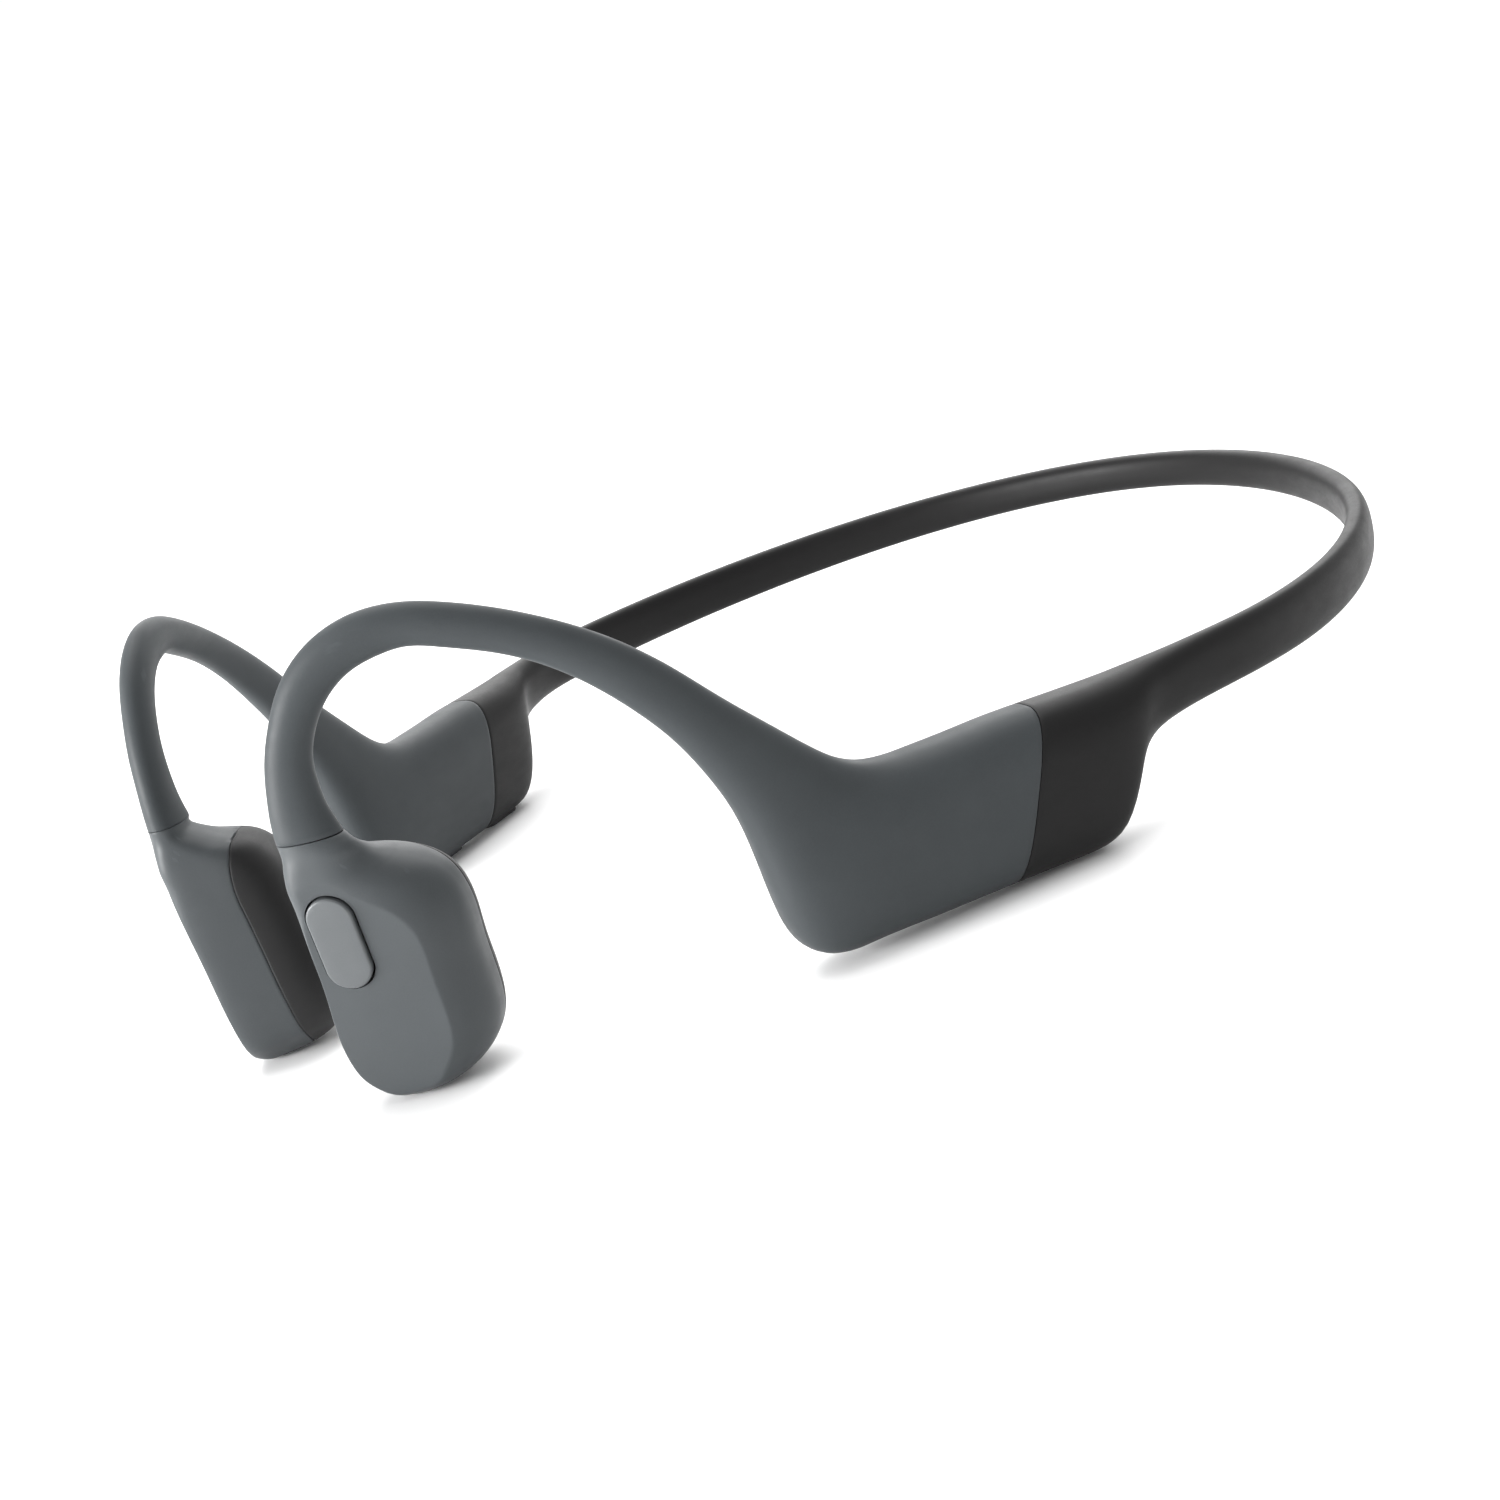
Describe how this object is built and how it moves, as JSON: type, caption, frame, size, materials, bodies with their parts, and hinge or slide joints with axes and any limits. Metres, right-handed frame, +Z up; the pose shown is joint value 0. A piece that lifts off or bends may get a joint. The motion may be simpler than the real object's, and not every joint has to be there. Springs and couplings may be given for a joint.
{
  "type": "bone conduction headphones",
  "caption": "Open-ear bone conduction headphones: a springy neckband joins two pods, whose ear hooks end in wedge-shaped transducers with a press button.",
  "frame": {"origin": "On the surface the headphones rest on, below the centre of their box.", "axes": "+X to the wearer's left, -Y to the front where the transducers are, +Z up."},
  "size_m": [0.1202, 0.1547, 0.0469],
  "materials": {
    "black_silicone": "satin",
    "grey_silicone": "satin",
    "grey_plastic": "satin",
    "black_pad": "matte",
    "button_grey": "satin",
    "inner_plastic": "matte",
    "titanium": "brushed",
    "steel": "brushed",
    "magnet": "plated",
    "copper": "enamelled",
    "lead_jacket": "matte",
    "circuit_board": "satin",
    "ceramic": "matte",
    "switch_metal": "brushed",
    "port_plastic": "satin",
    "gold_contacts": "plated",
    "light_pipe": "clear",
    "battery_foil": "foil"
  },
  "bodies": {
    "root": {"neckband_sleeve": "black_silicone", "neckband_wire": "titanium", "neckband_lead": "lead_jacket", "hook_sleeve_right": "grey_silicone", "hook_wire_right": "titanium", "hook_lead_right": "lead_jacket", "pod_case_right": "inner_plastic", "pod_lid_right": "inner_plastic", "transducer_shell_right": "grey_plastic", "contact_pad_right": "black_pad", "face_panel_right": "inner_plastic", "coil_bracket_right": "inner_plastic", "voice_coil_right": "copper", "spring_plate_right": "steel", "microphone": "steel", "main_board": "circuit_board", "radio_shield": "steel", "antenna": "ceramic", "volume_up_switch": "switch_metal", "volume_down_switch": "switch_metal", "charge_port_frame": "port_plastic", "charge_contacts": "gold_contacts", "charge_magnets": "magnet", "status_light_pipe": "light_pipe"},
    "left_arm": {"hook_sleeve_left": "grey_silicone", "hook_wire_left": "titanium", "hook_lead_left": "lead_jacket", "pod_case_left": "inner_plastic", "pod_lid_left": "inner_plastic", "transducer_shell_left": "grey_plastic", "contact_pad_left": "black_pad", "face_panel_left": "inner_plastic", "coil_bracket_left": "inner_plastic", "voice_coil_left": "copper", "spring_plate_left": "steel", "battery_cell": "battery_foil", "battery_board": "circuit_board", "function_switch": "switch_metal", "switch_board": "circuit_board"},
    "driver_left": {"magnet_yoke_left": "steel", "magnet_left": "magnet", "pole_plate_left": "steel"},
    "driver_right": {"magnet_yoke_right": "steel", "magnet_right": "magnet", "pole_plate_right": "steel"},
    "function_button": {"function_button": "button_grey"},
    "volume_up_button": {"volume_up_button": "button_grey"},
    "volume_down_button": {"volume_down_button": "button_grey"}
  },
  "joints": [
    {"name": "band_flex", "type": "hinge", "parent": "root", "child": "left_arm", "pos_m": [0, 0.07592, 0.01563], "axis": [0, 0.0297, 0.9996], "range_deg": [-3, 45], "stiffness_Nm_per_rad": 0.15, "deforming": ["neckband_sleeve", "neckband_wire", "neckband_lead"]},
    {"name": "function_button_press", "type": "slide", "parent": "left_arm", "child": "function_button", "axis": [-0.5979, 0.7965, 0.0896], "range_m": [0, 0.00035], "stiffness_N_per_m": 800},
    {"name": "volume_up_press", "type": "slide", "parent": "root", "child": "volume_up_button", "axis": [0, 0.0297, 0.9996], "range_m": [0, 0.0003], "stiffness_N_per_m": 1200},
    {"name": "volume_down_press", "type": "slide", "parent": "root", "child": "volume_down_button", "axis": [0, 0.0297, 0.9996], "range_m": [0, 0.0003], "stiffness_N_per_m": 1200},
    {"name": "driver_left_vibration", "type": "slide", "parent": "left_arm", "child": "driver_left", "axis": [0.5979, -0.7965, -0.0896], "range_m": [-0.00015, 0.00015], "stiffness_N_per_m": 3000, "deforming": ["spring_plate_left"]},
    {"name": "driver_right_vibration", "type": "slide", "parent": "root", "child": "driver_right", "axis": [-0.5979, -0.7965, -0.0896], "range_m": [-0.00015, 0.00015], "stiffness_N_per_m": 3000, "deforming": ["spring_plate_right"]}
  ]
}
